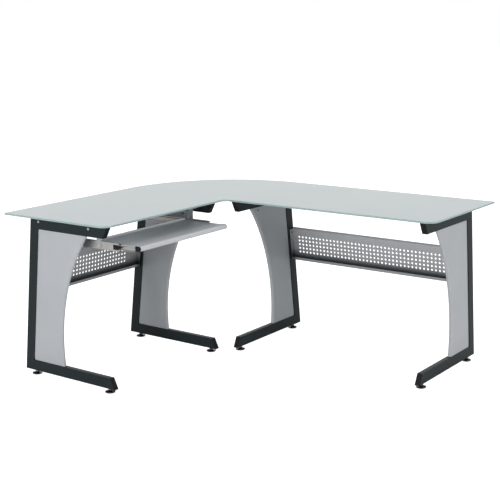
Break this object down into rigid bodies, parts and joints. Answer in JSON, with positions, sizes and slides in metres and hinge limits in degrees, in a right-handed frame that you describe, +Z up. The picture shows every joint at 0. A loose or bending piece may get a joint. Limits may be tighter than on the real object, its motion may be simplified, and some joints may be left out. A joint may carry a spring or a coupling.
{
  "type": "computer desk with keyboard tray",
  "caption": "L-shaped desk: frosted glass top on leaning C-shaped legs with swept side panels, perforated modesty panels and a pull-out keyboard tray.",
  "frame": {"origin": "on the floor under the middle of the desk's footprint", "axes": "+Z up; +X along the right wing, away from the corner; +Y towards the right wing's back edge"},
  "size_m": [1.675, 1.405, 0.75],
  "materials": {
    "frosted_glass": "frosted underside, polished edge",
    "clear_pad": "clear",
    "frame_graphite": "satin powder coat",
    "panel_silver": "fibreboard in satin silver lacquer",
    "modesty_silver": "metallic powder coat",
    "tray_silver": "satin metallic paint",
    "zinc_steel": "zinc plated",
    "cage_steel": "zinc plated",
    "ball_steel": "polished",
    "hanger_steel": "satin powder coat",
    "black_screw": "black oxide",
    "black_plastic": "fine texture",
    "glide": "plated, with a black pad"
  },
  "bodies": {
    "frame": {"arm_end_caps": "black_plastic", "foot_end_caps": "black_plastic", "glass_pads": "clear_pad", "glass_top": "frosted_glass", "hanger_bolts": "zinc_steel", "hanger_nuts": "zinc_steel", "left_corner_arm": "frame_graphite", "left_corner_foot": "frame_graphite", "left_corner_panel": "panel_silver", "left_corner_post": "frame_graphite", "left_end_arm": "frame_graphite", "left_end_foot": "frame_graphite", "left_end_panel": "panel_silver", "left_end_post": "frame_graphite", "left_modesty_panel": "modesty_silver", "left_slide_rail": "zinc_steel", "left_tray_hangers": "hanger_steel", "modesty_screws": "black_screw", "panel_screws": "black_screw", "right_corner_arm": "frame_graphite", "right_corner_foot": "frame_graphite", "right_corner_panel": "panel_silver", "right_corner_post": "frame_graphite", "right_end_arm": "frame_graphite", "right_end_foot": "frame_graphite", "right_end_panel": "panel_silver", "right_end_post": "frame_graphite", "right_modesty_panel": "modesty_silver", "right_slide_rail": "zinc_steel", "right_tray_hangers": "hanger_steel", "slide_front_bumpers": "black_plastic", "slide_rear_stops": "black_plastic", "slide_rivets": "zinc_steel", "weld_nuts": "zinc_steel"},
    "keyboard_tray": {"tray_pan": "tray_silver", "tray_front_rail": "tray_silver", "tray_end_caps": "black_plastic", "tray_screws": "zinc_steel", "left_slide_runner": "zinc_steel", "right_slide_runner": "zinc_steel"},
    "ball_cages": {"left_ball_cage": "cage_steel", "right_ball_cage": "cage_steel", "left_balls": "ball_steel", "right_balls": "ball_steel"},
    "left_corner_glide_back": {"left_corner_glide_back": "glide"},
    "left_corner_glide_front": {"left_corner_glide_front": "glide"},
    "left_end_glide_back": {"left_end_glide_back": "glide"},
    "left_end_glide_front": {"left_end_glide_front": "glide"},
    "right_corner_glide_back": {"right_corner_glide_back": "glide"},
    "right_corner_glide_front": {"right_corner_glide_front": "glide"},
    "right_end_glide_back": {"right_end_glide_back": "glide"},
    "right_end_glide_front": {"right_end_glide_front": "glide"}
  },
  "joints": [
    {"name": "tray_slide", "type": "slide", "parent": "frame", "child": "keyboard_tray", "axis": [1, 0, 0], "range_m": [-0.075, 0.265]},
    {"name": "cage_roll", "type": "slide", "parent": "frame", "child": "ball_cages", "axis": [1, 0, 0], "range_m": [-0.0375, 0.1325]},
    {"name": "left_corner_glide_back_screw", "type": "slide", "parent": "frame", "child": "left_corner_glide_back", "axis": [0, 0, 1], "range_m": [-0.01, 0.002]},
    {"name": "left_corner_glide_front_screw", "type": "slide", "parent": "frame", "child": "left_corner_glide_front", "axis": [0, 0, 1], "range_m": [-0.01, 0.002]},
    {"name": "left_end_glide_back_screw", "type": "slide", "parent": "frame", "child": "left_end_glide_back", "axis": [0, 0, 1], "range_m": [-0.01, 0.002]},
    {"name": "left_end_glide_front_screw", "type": "slide", "parent": "frame", "child": "left_end_glide_front", "axis": [0, 0, 1], "range_m": [-0.01, 0.002]},
    {"name": "right_corner_glide_back_screw", "type": "slide", "parent": "frame", "child": "right_corner_glide_back", "axis": [0, 0, 1], "range_m": [-0.01, 0.002]},
    {"name": "right_corner_glide_front_screw", "type": "slide", "parent": "frame", "child": "right_corner_glide_front", "axis": [0, 0, 1], "range_m": [-0.01, 0.002]},
    {"name": "right_end_glide_back_screw", "type": "slide", "parent": "frame", "child": "right_end_glide_back", "axis": [0, 0, 1], "range_m": [-0.01, 0.002]},
    {"name": "right_end_glide_front_screw", "type": "slide", "parent": "frame", "child": "right_end_glide_front", "axis": [0, 0, 1], "range_m": [-0.01, 0.002]}
  ],
  "couplings": [
    {"joint": "cage_roll", "follows": "tray_slide", "ratio": 0.5}
  ]
}
